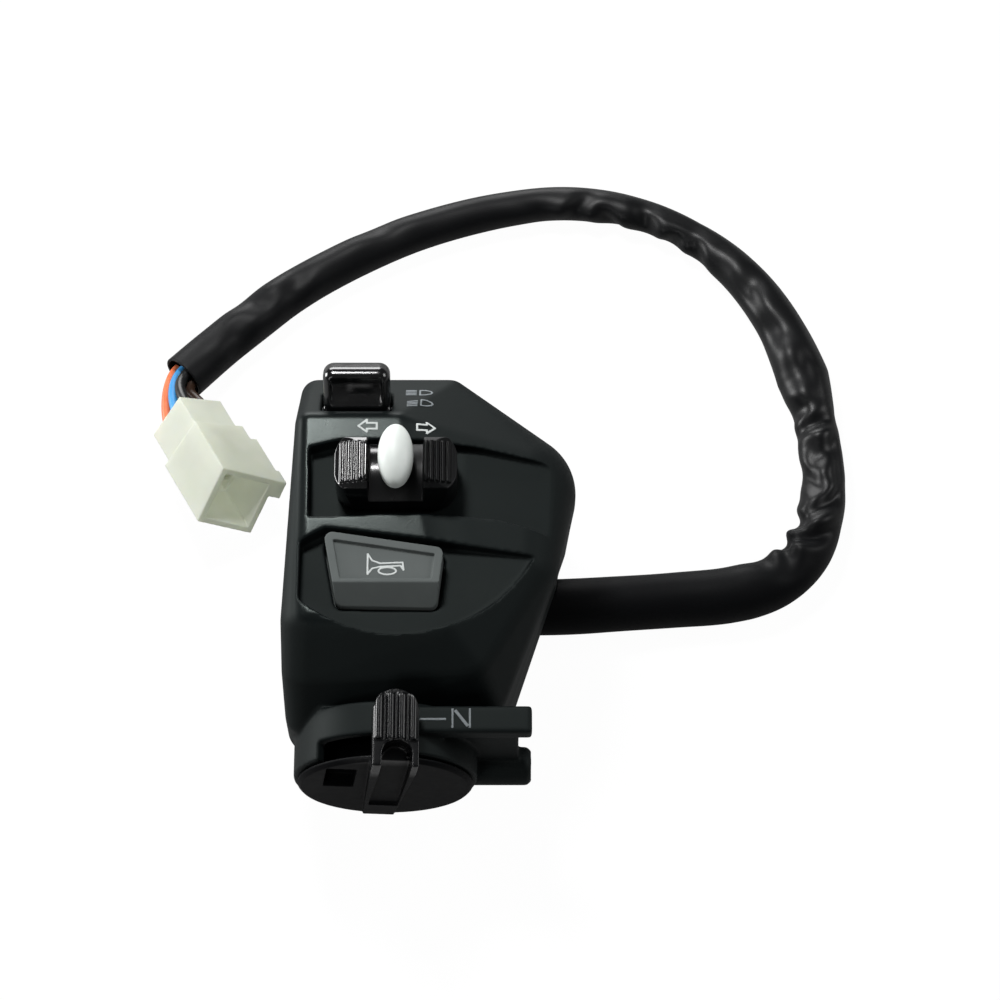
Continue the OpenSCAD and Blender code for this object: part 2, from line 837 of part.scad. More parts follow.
module horn_button() {
  bevel_y = horn_shape[3].y + horn_bevel_run;
  color(grey) difference() {
    translate([0, 0, horn_flange_low_z]) {
      linear_extrude(horn_top_z - horn_flange_low_z) horn_outline(0);
      linear_extrude(horn_flange_h) horn_outline(horn_flange);
    }
    translate([0, 0, horn_top_z - horn_dish]) linear_extrude(big) intersection() {
      horn_outline(-horn_rim);
      translate([-big / 2, bevel_y + horn_lip]) square(big);
    }
    translate([horn_x, bevel_y, horn_top_z]) rotate([horn_bevel_deg, 0, 0])
      translate([-big, -big, 0]) cube([2 * big, big, big]);
    translate([horn_x, horn_y, horn_flange_low_z - 1])
      cylinder(h = spring_cup_h + 1, r = horn_spring_r + spring_cup);
  }
}

module horn_base() {
  color(board) difference() {
    translate([horn_x + horn_base_shift, horn_y, horn_base_top_z - horn_base_h])
      rounded_plate(horn_base_x, horn_base_y, 2, horn_base_h);
    horn_posts(horn_screw_r + run_gap, 0, big);
    translate([screw_at[1].x, screw_at[1].y, 0]) cylinder(h = big, r = boss_r + seat_gap);
  }
}

module horn_base_screws() {
  seat_z = horn_base_top_z - horn_base_h;
  color(steel) {
    horn_posts(horn_screw_r, seat_z - horn_head_h / 2, horn_base_top_z + horn_screw_grip);
    horn_posts(horn_head_r, seat_z - horn_head_h, seat_z);
  }
}

module horn_contact() {
  color(brass) translate([horn_x, horn_y, horn_base_top_z])
    difference() {
      cylinder(h = horn_contact_h, r = horn_spring_r + horn_contact_w);
      translate([0, 0, -1]) cylinder(h = 3, r = horn_spring_r - horn_contact_w);
    }
}

module horn_terminal() {
  top_z = horn_flange_low_z - push_travel - seat_gap;
  color(brass) for (s = [-1, 1])
    translate([horn_x + s * horn_terminal_x, horn_y, horn_base_top_z])
      rounded_plate(horn_terminal_size.x, horn_terminal_size.y, 0.8, top_z - horn_base_top_z);
}

module horn_spring() {
  color(steel) translate([horn_x, horn_y, 0]) spring(
    horn_spring_r,
    horn_turns,
    horn_base_top_z + horn_contact_h + spring_end_gap,
    horn_flange_low_z + spring_cup_h - spring_end_gap);
}

// Dimmer switch

// Paddle with rounded edges, on a barrel that turns on the pin
module dimmer_paddle() {
  hull() for (x = [-1, 1], y = [-1, 1])
    translate([x * (dimmer_w / 2 - dimmer_corner), y * (dimmer_t / 2 - dimmer_corner), 0]) {
      translate([0, 0, dimmer_reach - dimmer_corner]) sphere(r = dimmer_corner, $fn = hull_fn);
      translate([0, 0, -dimmer_sink]) cylinder(h = 1, r = dimmer_corner, $fn = hull_fn);
    }
  translate([-dimmer_w / 2, 0, -dimmer_sink]) along_x(0, dimmer_w, dimmer_drum_r);
}

module dimmer_rocker() {
  scoop_w = dimmer_w - 2 * scoop_side;
  color(gloss) on_slope() difference() {
    dimmer_paddle();
    translate([-scoop_w / 2, scoop_depth - dimmer_t / 2 - scoop_r, dimmer_reach / 2])
      along_x(0, scoop_w, scoop_r);
    translate([-dimmer_w, 0, -dimmer_sink]) along_x(0, 2 * dimmer_w, dimmer_pin_d / 2 + run_gap);
    translate([0, 0, dimmer_tail_z]) cube([blade.x + run_gap, blade.y + run_gap, 2 * blade_in], center = true);
  }
}

module dimmer_pin() {
  long = dimmer_w + 2 * gap + 2 * dimmer_lug;
  color(steel) on_slope() translate([-long / 2, 0, -dimmer_sink]) along_x(0, long, dimmer_pin_d / 2 - eps);
}

module dimmer_base() {
  color(board) on_slope() block(
    [-dimmer_base_size.x / 2, dimmer_base_y, dimmer_base_low_z],
    [dimmer_base_size.x / 2, dimmer_base_y + dimmer_base_size.y, dimmer_base_top_z]);
}

module dimmer_contacts() {
  color(brass) on_slope() for (s = [-1, 1])
    translate([s * dimmer_contact_x - dimmer_contact.x / 2, dimmer_base_y + 0.5, dimmer_base_top_z])
      cube([dimmer_contact.x, dimmer_contact.y, dimmer_contact_h]);
}

// Spring blade on the rocker's tail
module dimmer_blade() {
  color(brass) on_slope() translate([-blade.x / 2, -blade.y / 2, blade_low_z]) cube(blade - [0, 0, run_gap]);
}

// Choke lever

module lever_handle() {
  rotate([90, 0, 0]) translate([0, 0, -disc_low_y]) linear_extrude(handle_h) polygon([
    [-thumb_w / 2, pad_in], [thumb_w / 2, pad_in],
    [handle_tip / 2, -handle_back], [-handle_tip / 2, -handle_back]]);
}

module choke_lever() {
  pad_mid = (pad_in + pad_out) / 2;
  color(black) at_drum(lever_rest) difference() {
    union() {
      along_y(disc_low_y + disc_chamfer, disc_top_y, disc_r);
      translate([0, disc_low_y, 0]) rotate([-90, 0, 0])
        cylinder(h = disc_chamfer + eps, r1 = disc_r - disc_chamfer, r2 = disc_r);
      along_y(disc_top_y - eps, hub_top_y, hub_r);
      along_y(hub_top_y - eps, shaft_top_y, shaft_r);
      block([-arm_w / 2, disc_low_y, 0], [arm_w / 2, drum_low_y + window_h - gap, pad_mid]);
      block([-thumb_w / 2, disc_low_y - handle_h, pad_in], [thumb_w / 2, pad_top_y, pad_out]);
      lever_handle();
      for (i = [0:pad_rib_n - 1])
        translate([(i - (pad_rib_n - 1) / 2) * thumb_w / pad_rib_n, pad_top_y - 1, pad_out])
          along_y(-pad_rib_len, 0, pad_rib_r);
    }
    // Groove that the cable winds into
    at_groove() rotate_extrude() translate([groove_r, -groove_w / 2]) square([hub_r, groove_w]);
    // The handle tapers away to the far rim
    translate([-big, disc_low_y - handle_end, -handle_back]) rotate([handle_deg, 0, 0])
      translate([0, -big, -big / 2]) cube([2 * big, big, 2 * big]);
    // Pocket between the spine and the web of the handle, with an arch through the foot of the pad
    block(
      [spine_w - thumb_w / 2, disc_low_y - 2 * handle_h, -handle_back / 2],
      [thumb_w / 2 - web_w, disc_low_y - pocket_floor, pad_in + eps]);
    pad_arch();
    // Slot in the disc for the nipple of the cable
    block(
      [nipple_slot_x - nipple_slot.x / 2, disc_low_y - 1, 0],
      [nipple_slot_x + nipple_slot.x / 2, disc_low_y + nipple_depth, nipple_slot.y]);
    // Groove for the clip
    at_clip() rotate_extrude() translate([shaft_r - clip_depth, 0]) square([2, clip_h + 2 * run_gap]);
    // Rounded top of the thumb pad
    translate([0, pad_top_y - thumb_w / 2, 0]) pad_round();
  }
}

module at_groove() {
  translate([0, barrel_y, 0]) rotate([-90, 0, 0]) children();
}

module at_clip() {
  translate([0, cavity_low_y + seat_gap, 0]) rotate([-90, 0, 0]) children();
}

module pad_arch() {
  arch_r = (thumb_w - spine_w - web_w) / 2;
  arch_x = (spine_w - web_w) / 2;
  translate([arch_x, disc_low_y + arch_up - arch_r / 2, pad_in]) {
    block([-arch_r, -2 * handle_h, 0], [arch_r, 0, big]);
    cylinder(h = big, r = arch_r);
  }
}

// What is cut off above the half-round end of the pad
module pad_round() {
  difference() {
    block([-thumb_w, 0, pad_in - 0.3], [thumb_w, thumb_w, pad_out + 2]);
    cylinder(h = big, r = thumb_w / 2);
  }
}

module choke_washer() {
  color(steel) at_drum() difference() {
    along_y(hub_top_y + 2 * run_gap, cup_top_y - 2 * run_gap, shaft_r + 3);
    along_y(-big, big, shaft_r + gap);
  }
}

module choke_clip() {
  color(steel) at_drum(lever_rest) at_clip() difference() {
    translate([0, 0, run_gap]) cylinder(h = clip_h, r = clip_r);
    translate([0, 0, -1]) cylinder(h = 3, r = shaft_r - clip_depth + run_gap);
    translate([-clip_mouth / 2, 0, -1]) cube([clip_mouth, 10, 3]);
  }
}

// Harness and connector

module cable_grommet() {
  color(black) translate([0, exit_y, exit_z]) difference() {
    along_x(grommet_x + 0.1, grommet_x + grommet_len - 0.1, grommet_r - 0.1);
    along_x(-big, big, sleeve_d / 2 + 0.05);
  }
}

module inner_loom() {
  color(black) tube(smooth_route(loom_route, 2), loom_d / 2, wire_sides, [0, 1, 0]);
}

module harness_sleeve() {
  color(black) tube(smooth_route(sleeve_route, sleeve_steps), sleeve_d / 2, sleeve_sides);
}

// One wire from the cut end of the sleeve into the back of the connector
module wire(column, row) {
  n = len(sleeve_route);
  along = unit(sleeve_route[n - 1] - sleeve_route[n - 2]);
  level = unit([along.y, -along.x, 0]);
  upright = [0, 0, 1];
  columns = cos(bundle_turn) * level - sin(bundle_turn) * upright;
  rows = sin(bundle_turn) * level + cos(bundle_turn) * upright;
  from = sleeve_route[n - 1] + wire_pitch * (column * columns + row * rows) - wire_in * along;
  to = plug_at - cell.x * column * plug_across - cell.y * row * plug_through + wire_in * plug_into;
  tube([for (i = [0:wire_rings])
    bezier(from, from + wire_bow * along, to - wire_bow * plug_into, to, i / wire_rings)],
    wire_d / 2, wire_sides);
}

module wire_orange() {
  color("#e8743c") wire(1, 0.5);
}

module wire_blue() {
  color("#2f8fd6") wire(0, 0.5);
}

module wire_black() {
  color("#17181a") wire(-1, 0.5);
}

module wire_brown() {
  color("#6b4326") wire(-1, -0.5);
}

module wire_green() {
  color("#2f7d46") wire(0, -0.5);
}

module wire_yellow() {
  color("#e0c23a") wire(1, -0.5);
}

// Six cells in two rows behind the mouth
module connector_cells() {
  deep = plug_len - plug_mouth - plug_neck;
  for (c = [-1:1], r = [-0.5, 0.5])
    translate([plug_neck + deep / 2, r * cell.y, c * cell.x])
      cube([deep + 2 * eps, cell.y - cell_wall, cell.x - cell_wall], center = true);
}

// Latch along one edge, with a hook at the mouth
module latch_tab() {
  low_z = plug_w / 2 - tab_w;
  block([tab_back, plug_t / 2 - 1, low_z], [plug_len + plug_spare, plug_t / 2 + tab_t, plug_w / 2]);
  block(
    [plug_len - tab_hook.x, plug_t / 2 - 1, low_z],
    [plug_len + plug_spare, plug_t / 2 + tab_t + tab_hook.y, plug_w / 2]);
}

module connector_body() {
  color(cream) at_plug() difference() {
    union() {
      translate([plug_neck / 2, 0, 0])
        cube([plug_neck, plug_t - 2 * plug_step, plug_w - 2 * plug_step], center = true);
      block([plug_neck, -plug_t / 2, -plug_w / 2], [plug_len + plug_spare, plug_t / 2, plug_w / 2]);
      latch_tab();
    }
    // The walls at the back of the mouth are longer than those in front
    translate([plug_len, 0, 0]) rotate([0, -plug_slant, -plug_slant])
      translate([0, -big / 2, -big / 2]) cube(big);
    translate([plug_len, 0, 0])
      cube([2 * plug_mouth, plug_t - 2 * plug_skin, plug_w - 2 * plug_skin], center = true);
    connector_cells();
  }
}

module connector_terminals() {
  long = plug_len - plug_mouth - plug_neck - cell_pin_back;
  color(brass) at_plug() for (c = [-1:1], r = [-0.5, 0.5])
    translate([plug_neck, r * cell.y - cell_pin.y / 2, c * cell.x - cell_pin.x / 2])
      cube([long, cell_pin.y, cell_pin.x]);
}

front_housing();
rear_housing();
case_screws();
turn_slider();
turn_carrier();
turn_bridge();
turn_base();
turn_contacts();
cancel_button();
cancel_spring();
horn_button();
horn_base();
horn_base_screws();
horn_spring();
horn_contact();
horn_terminal();
dimmer_rocker();
dimmer_pin();
dimmer_base();
dimmer_contacts();
dimmer_blade();
choke_lever();
choke_washer();
choke_clip();
cable_grommet();
inner_loom();
harness_sleeve();
wire_orange();
wire_blue();
wire_black();
wire_brown();
wire_green();
wire_yellow();
connector_body();
connector_terminals();
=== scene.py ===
# %% [markdown]
# # Handlebar switch cluster
#
# A left-hand switch from a motorbike, lying on its back on a white table. The solids come from
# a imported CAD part, in metres, with the handlebar along X and the rider on +Z. This lesson
# gives each piece its moulded edges and its finish, and adds the sleeve's folds, the printed
# signs and the wires.

import math

import bpy
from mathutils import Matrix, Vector, noise


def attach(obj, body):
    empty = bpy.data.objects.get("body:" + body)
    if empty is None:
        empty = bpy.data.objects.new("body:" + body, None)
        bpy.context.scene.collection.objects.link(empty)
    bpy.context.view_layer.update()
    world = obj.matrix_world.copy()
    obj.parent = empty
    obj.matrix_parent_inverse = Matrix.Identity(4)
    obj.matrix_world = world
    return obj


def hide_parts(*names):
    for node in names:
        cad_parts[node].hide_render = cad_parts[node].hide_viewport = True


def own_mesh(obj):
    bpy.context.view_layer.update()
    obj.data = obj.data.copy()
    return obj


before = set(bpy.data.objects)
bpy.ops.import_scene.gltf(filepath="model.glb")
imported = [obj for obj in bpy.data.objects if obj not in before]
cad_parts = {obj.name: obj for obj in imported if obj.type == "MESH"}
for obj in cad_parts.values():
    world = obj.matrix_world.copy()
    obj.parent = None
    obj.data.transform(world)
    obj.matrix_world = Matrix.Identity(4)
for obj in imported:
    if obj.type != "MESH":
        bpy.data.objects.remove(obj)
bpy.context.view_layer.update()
MM = 0.001

# %% [markdown]
# ## Camera
#
# The photograph looks down on the table at about 67 degrees, from the rider's side and a
# little from below the switch. A long lens from 0.6 m keeps the upright edges nearly parallel.
# The camera comes first, because every later shape is judged through it.

# %% Camera
TILT = math.radians(23)
VIEW_DISTANCE = 600 * MM
HALF_WIDTH = 100 * MM

lens = bpy.data.cameras.new("photo_lens")
lens.sensor_fit = "HORIZONTAL"
lens.angle = 2 * math.atan(HALF_WIDTH / VIEW_DISTANCE)
lens.clip_start = 0.01
camera = bpy.data.objects.new("photo_camera", lens)
camera.location = (15 * MM, -239.96 * MM, 579.96 * MM)
camera.rotation_euler = (TILT, 0, 0)
bpy.context.scene.collection.objects.link(camera)
bpy.context.scene.camera = camera
print("camera at", tuple(round(v, 3) for v in camera.location))

# %% [markdown]
# ## Nodes and colours
#
# Every finish is a node tree. One function adds a node, sets what it is given and makes its
# links, and another turns an sRGB hex value into the linear colour that shaders expect.
# A third starts a material with its constants on the shader itself.

# %% Node helpers


def linear(code):
    """sRGB hex to a linear RGBA colour."""
    parts = [int(code[i : i + 2], 16) / 255 for i in (0, 2, 4)]
    return [p / 12.92 if p <= 0.04045 else ((p + 0.055) / 1.055) ** 2.4 for p in parts] + [1.0]


def add(tree, kind, inputs=None, **settings):
    """Add a node; an input given as a socket is linked, anything else is set."""
    made = tree.nodes.new(kind)
    for key, value in settings.items():
        setattr(made, key, value)
    for key, value in (inputs or {}).items():
        if isinstance(value, bpy.types.NodeSocket):
            tree.links.new(value, made.inputs[key])
        else:
            made.inputs[key].default_value = value
    return made


def start_material(name, constants):
    """A material with one shader, its constants set, and the object's own coordinates."""
    made = bpy.data.materials.new(name)
    made.use_nodes = True
    tree = made.node_tree
    tree.nodes.clear()
    shader = add(tree, "ShaderNodeBsdfPrincipled", constants)
    add(tree, "ShaderNodeOutputMaterial", {"Surface": shader.outputs[0]})
    place = add(tree, "ShaderNodeTexCoord").outputs["Object"]
    return made, tree, shader, place


def tinted(tree, shader, pattern, dark, light):
    """Let a pattern vary the base colour between two hex values."""
    tint = add(
        tree, "ShaderNodeMix",
        {"Factor": pattern, "A": linear(dark), "B": linear(light)}, data_type="RGBA",
    )
    tree.links.new(tint.outputs["Result"], shader.inputs["Base Color"])
    return tint


def per_mm(size):
    """Texture scale at which one cell of a pattern is about this many millimetres."""
    return 1 / (size * MM)


# %% [markdown]
# ## Black plastics
#
# The housing is ABS with a spark-eroded grain from its mould, which scatters light softly. Gloves
# have rubbed the flat outer face smoother, so it alone shows a sheen: the height above the bar
# blends one roughness into the other. The knobs come from a polished mould, so they mirror the
# lamps, most of all on the side that the thumb pushes. The choke lever is acetal, rubbed bright
# only on its pad. A bump map is enough for a grain of half a millimetre. Geometry that fine
# would cost millions of faces.

# %% Housing plastic
GRAIN_MM = 0.45
RUBBED_MM = (29.0, 29.9)  # below the first height all grain, above the second all rubbed
GRAINED_ROUGH, RUBBED_ROUGH = 0.6, 0.29

grained_abs, tree, shader, place = start_material(
    "grained ABS, spark-eroded mould",
    {"IOR": 1.53, "Specular IOR Level": 0.17, "Specular Tint": (0.88, 1.0, 0.96, 1.0)},
)
grain = add(
    tree, "ShaderNodeTexNoise", {"Vector": place, "Scale": per_mm(GRAIN_MM), "Detail": 3.0}
)
patch = add(tree, "ShaderNodeTexNoise", {"Vector": place, "Scale": per_mm(14), "Detail": 4.0})
tinted(tree, shader, patch.outputs[0], "080b0c", "0e1314")
spot = add(tree, "ShaderNodeSeparateXYZ", {0: place})
worn = add(
    tree, "ShaderNodeMapRange",
    {
        "Value": spot.outputs["Z"],
        "From Min": RUBBED_MM[0] * MM, "From Max": RUBBED_MM[1] * MM,
        "To Min": GRAINED_ROUGH, "To Max": RUBBED_ROUGH,
    },
)
mottle = add(
    tree, "ShaderNodeMapRange", {"Value": patch.outputs[0], "To Min": -0.04, "To Max": 0.04}
)
dull = add(tree, "ShaderNodeMath", {0: worn.outputs[0], 1: mottle.outputs[0]}, operation="ADD")
tree.links.new(dull.outputs[0], shader.inputs["Roughness"])
pits = add(
    tree, "ShaderNodeBump", {"Height": grain.outputs[0], "Strength": 0.22, "Distance": 0.06 * MM}
)
tree.links.new(pits.outputs[0], shader.inputs["Normal"])
print(grained_abs.name)

# %% Knob plastic
gloss_abs, tree, shader, place = start_material(
    "gloss ABS, polished mould", {"Base Color": linear("060708"), "IOR": 1.54}
)
haze = add(tree, "ShaderNodeTexNoise", {"Vector": place, "Scale": per_mm(3), "Detail": 5.0})
spot = add(tree, "ShaderNodeSeparateXYZ", {0: place})
side = {"Value": spot.outputs["X"], "From Min": -9 * MM, "From Max": -3 * MM}
shine = add(tree, "ShaderNodeMapRange", {**side, "To Min": 0.75, "To Max": 0.15})
tree.links.new(shine.outputs[0], shader.inputs["Specular IOR Level"])
dusty = add(tree, "ShaderNodeMapRange", {**side, "To Min": 0.1, "To Max": 0.35})
smear = add(tree, "ShaderNodeMapRange", {"Value": haze.outputs[0], "To Min": 0.0, "To Max": 0.12})
rough = add(tree, "ShaderNodeMath", {0: dusty.outputs[0], 1: smear.outputs[0]}, operation="ADD")
tree.links.new(rough.outputs[0], shader.inputs["Roughness"])
ripple = add(
    tree, "ShaderNodeBump", {"Height": haze.outputs[0], "Strength": 0.06, "Distance": 0.1 * MM}
)
tree.links.new(ripple.outputs[0], shader.inputs["Normal"])
print(gloss_abs.name)

# %% Lever plastic
acetal, tree, shader, place = start_material(
    "black acetal, satin mould", {"Base Color": linear("090a0c"), "IOR": 1.48}
)
haze = add(tree, "ShaderNodeTexNoise", {"Vector": place, "Scale": per_mm(2), "Detail": 5.0})
spot = add(tree, "ShaderNodeSeparateXYZ", {0: place})
height = {"Value": spot.outputs["Z"], "From Min": 19 * MM, "From Max": 24 * MM}
shine = add(tree, "ShaderNodeMapRange", {**height, "To Min": 0.08, "To Max": 0.45})
tree.links.new(shine.outputs[0], shader.inputs["Specular IOR Level"])
satin = add(tree, "ShaderNodeMapRange", {**height, "To Min": 0.5, "To Max": 0.2})
smear = add(tree, "ShaderNodeMapRange", {"Value": haze.outputs[0], "To Min": 0.0, "To Max": 0.12})
rough = add(tree, "ShaderNodeMath", {0: satin.outputs[0], 1: smear.outputs[0]}, operation="ADD")
tree.links.new(rough.outputs[0], shader.inputs["Roughness"])
skin = add(
    tree, "ShaderNodeBump", {"Height": haze.outputs[0], "Strength": 0.1, "Distance": 0.08 * MM}
)
tree.links.new(skin.outputs[0], shader.inputs["Normal"])
print(acetal.name)

# %% [markdown]
# ## Pale plastics
#
# The horn button is a mid-grey ABS with a fine satin. The oval button is white, and the
# connector is natural nylon, which is cream and lets a little light in, so its edges glow.

# %% Grey, white and natural plastics
grey_abs, tree, shader, place = start_material(
    "grey ABS, satin mould", {"IOR": 1.53, "Specular IOR Level": 0.1}
)
fleck = add(tree, "ShaderNodeTexNoise", {"Vector": place, "Scale": per_mm(0.5), "Detail": 3.0})
patch = add(tree, "ShaderNodeTexNoise", {"Vector": place, "Scale": per_mm(6), "Detail": 3.0})
tinted(tree, shader, patch.outputs[0], "585d5c", "646968")
dull = add(tree, "ShaderNodeMapRange", {"Value": patch.outputs[0], "To Min": 0.58, "To Max": 0.7})
tree.links.new(dull.outputs[0], shader.inputs["Roughness"])
pits = add(
    tree, "ShaderNodeBump", {"Height": fleck.outputs[0], "Strength": 0.12, "Distance": 0.05 * MM}
)
tree.links.new(pits.outputs[0], shader.inputs["Normal"])

white_abs, tree, shader, place = start_material(
    "white ABS, polished mould",
    {
        "IOR": 1.53, "Subsurface Weight": 0.12,
        "Subsurface Radius": (1.0, 0.9, 0.8), "Subsurface Scale": 0.8 * MM,
    },
)
haze = add(tree, "ShaderNodeTexNoise", {"Vector": place, "Scale": per_mm(2.5), "Detail": 4.0})
tinted(tree, shader, haze.outputs[0], "d2d8d4", "dde2de")
smear = add(tree, "ShaderNodeMapRange", {"Value": haze.outputs[0], "To Min": 0.42, "To Max": 0.56})
tree.links.new(smear.outputs[0], shader.inputs["Roughness"])

natural_nylon, tree, shader, place = start_material(
    "natural nylon, moulded",
    {
        "IOR": 1.53, "Subsurface Weight": 0.3,
        "Subsurface Radius": (1.0, 0.85, 0.55), "Subsurface Scale": 1.6 * MM,
    },
)
cloud = add(tree, "ShaderNodeTexNoise", {"Vector": place, "Scale": per_mm(5), "Detail": 4.0})
tint = tinted(tree, shader, cloud.outputs[0], "e4e8da", "f0f2ea")
dull = add(tree, "ShaderNodeMapRange", {"Value": cloud.outputs[0], "To Min": 0.34, "To Max": 0.5})
tree.links.new(dull.outputs[0], shader.inputs["Roughness"])
dents = add(
    tree, "ShaderNodeBump", {"Height": cloud.outputs[0], "Strength": 0.12, "Distance": 0.15 * MM}
)
tree.links.new(dents.outputs[0], shader.inputs["Normal"])
through = add(tree, "ShaderNodeBsdfTranslucent", {"Color": tint.outputs["Result"]})
milky = add(tree, "ShaderNodeMixShader", {0: 0.5, 1: shader.outputs[0], 2: through.outputs[0]})
tree.links.new(milky.outputs[0], tree.nodes["Material Output"].inputs["Surface"])
print(grey_abs.name, "|", white_abs.name, "|", natural_nylon.name)

# %% [markdown]
# ## Vinyl, rubber, paint and metal
#
# The sleeve and the wires are soft PVC. The sleeve is dull where it lies straight and half
# glossy where it is bent and stretched, so its folds show as bright streaks. The signs are
# pad-printed paint. Inside there are stamped brass contacts, zinc-plated screws, a blackened
# pivot pin and brown phenolic bases.

# %% Soft plastics
sleeve_pvc, tree, shader, place = start_material(
    "black PVC sleeve, extruded", {"Base Color": linear("060709"), "IOR": 1.52}
)
haze = add(tree, "ShaderNodeTexNoise", {"Vector": place, "Scale": per_mm(7), "Detail": 5.0})
smear = add(
    tree, "ShaderNodeMapRange", {"Value": haze.outputs[0], "To Min": -0.08, "To Max": 0.08}
)
spot = add(tree, "ShaderNodeSeparateXYZ", {0: place})
forth = add(
    tree, "ShaderNodeMapRange",
    {"Value": spot.outputs["Y"], "From Min": -8 * MM, "From Max": 12 * MM},
)
aside = add(
    tree, "ShaderNodeMapRange",
    {
        "Value": spot.outputs["X"], "From Min": 10 * MM, "From Max": 45 * MM,
        "To Min": 0.4, "To Max": 1.0,
    },
)
bent = add(
    tree, "ShaderNodeMath", {0: forth.outputs[0], 1: aside.outputs[0]}, operation="MULTIPLY"
)
shine = add(tree, "ShaderNodeMapRange", {"Value": bent.outputs[0], "To Min": 0.1, "To Max": 0.3})
tree.links.new(shine.outputs[0], shader.inputs["Specular IOR Level"])
dull = add(tree, "ShaderNodeMapRange", {"Value": bent.outputs[0], "To Min": 0.56, "To Max": 0.41})
rough = add(tree, "ShaderNodeMath", {0: dull.outputs[0], 1: smear.outputs[0]}, operation="ADD")
tree.links.new(rough.outputs[0], shader.inputs["Roughness"])
creep = add(tree, "ShaderNodeTexNoise", {"Vector": place, "Scale": per_mm(1.6), "Detail": 4.0})
skin = add(
    tree, "ShaderNodeBump", {"Height": creep.outputs[0], "Strength": 0.1, "Distance": 0.2 * MM}
)
tree.links.new(skin.outputs[0], shader.inputs["Normal"])

grommet_rubber, tree, shader, place = start_material(
    "black rubber, moulded", {"Base Color": linear("121212"), "IOR": 1.5}
)
chalk = add(tree, "ShaderNodeTexNoise", {"Vector": place, "Scale": per_mm(1.2), "Detail": 4.0})
dull = add(tree, "ShaderNodeMapRange", {"Value": chalk.outputs[0], "To Min": 0.55, "To Max": 0.75})
tree.links.new(dull.outputs[0], shader.inputs["Roughness"])

WIRE_TINTS = {
    "wire_orange": ("e2683a", "ee8458"),
    "wire_blue": ("2f86c9", "4fa3df"),
    "wire_black": ("131415", "1c1d1e"),
    "wire_brown": ("2d1e16", "3a281d"),
    "wire_green": ("2a6f3f", "37844c"),
    "wire_yellow": ("d6b535", "e3c650"),
}
wire_pvc = {}
for wire_name, (dark, light) in WIRE_TINTS.items():
    made, tree, shader, place = start_material(
        "PVC insulation, extruded, " + wire_name.removeprefix("wire_"), {"IOR": 1.52}
    )
    haze = add(tree, "ShaderNodeTexNoise", {"Vector": place, "Scale": per_mm(1.5), "Detail": 4.0})
    tinted(tree, shader, haze.outputs[0], dark, light)
    smear = add(
        tree, "ShaderNodeMapRange", {"Value": haze.outputs[0], "To Min": 0.32, "To Max": 0.48}
    )
    tree.links.new(smear.outputs[0], shader.inputs["Roughness"])
    wire_pvc[wire_name] = made
print("wire colours:", len(wire_pvc))

# %% Paint, metal and phenolic
PAINT_TINTS = {"white": ("b9bfbe", "d9dddb"), "worn": ("5a6064", "8a9194")}
paints = {}
for paint_name, (dark, light) in PAINT_TINTS.items():
    made, tree, shader, place = start_material("pad-printed paint, " + paint_name, {"IOR": 1.5})
    wear = add(tree, "ShaderNodeTexNoise", {"Vector": place, "Scale": per_mm(0.7), "Detail": 4.0})
    tinted(tree, shader, wear.outputs[0], dark, light)
    dull = add(
        tree, "ShaderNodeMapRange", {"Value": wear.outputs[0], "To Min": 0.45, "To Max": 0.65}
    )
    tree.links.new(dull.outputs[0], shader.inputs["Roughness"])
    paints[paint_name] = made

zinc_steel, tree, shader, place = start_material("zinc-plated steel, rolled", {"Metallic": 1.0})
spangle = add(tree, "ShaderNodeTexNoise", {"Vector": place, "Scale": per_mm(0.6), "Detail": 4.0})
tinted(tree, shader, spangle.outputs[0], "a3a7ab", "c9cdd0")
dull = add(
    tree, "ShaderNodeMapRange", {"Value": spangle.outputs[0], "To Min": 0.25, "To Max": 0.42}
)
tree.links.new(dull.outputs[0], shader.inputs["Roughness"])

black_steel, tree, shader, place = start_material("black-oxide steel, ground", {"Metallic": 1.0})
stain = add(tree, "ShaderNodeTexNoise", {"Vector": place, "Scale": per_mm(0.8), "Detail": 4.0})
tinted(tree, shader, stain.outputs[0], "161718", "242628")
dull = add(tree, "ShaderNodeMapRange", {"Value": stain.outputs[0], "To Min": 0.4, "To Max": 0.55})
tree.links.new(dull.outputs[0], shader.inputs["Roughness"])

brass, tree, shader, place = start_material("brass strip, stamped", {"Metallic": 1.0})
tarnish = add(tree, "ShaderNodeTexNoise", {"Vector": place, "Scale": per_mm(1.4), "Detail": 5.0})
tinted(tree, shader, tarnish.outputs[0], "a87f3a", "d6b25e")
dull = add(
    tree, "ShaderNodeMapRange", {"Value": tarnish.outputs[0], "To Min": 0.22, "To Max": 0.4}
)
tree.links.new(dull.outputs[0], shader.inputs["Roughness"])

phenolic, tree, shader, place = start_material("brown phenolic board, pressed", {"IOR": 1.6})
fibre = add(
    tree, "ShaderNodeTexNoise",
    {"Vector": place, "Scale": per_mm(0.8), "Detail": 5.0, "Distortion": 0.6},
)
tinted(tree, shader, fibre.outputs[0], "4d351e", "7a5a34")
dull = add(tree, "ShaderNodeMapRange", {"Value": fibre.outputs[0], "To Min": 0.4, "To Max": 0.6})
tree.links.new(dull.outputs[0], shader.inputs["Roughness"])
print("paints:", len(paints), "|", zinc_steel.name, "|", black_steel.name)
print(brass.name, "|", phenolic.name)

# %% [markdown]
# ## Finishes for the hidden nodes
#
# The pieces inside the housing keep their CAD shape: sheet brass, screws and flat bases are
# already what they are. They only need their finish.

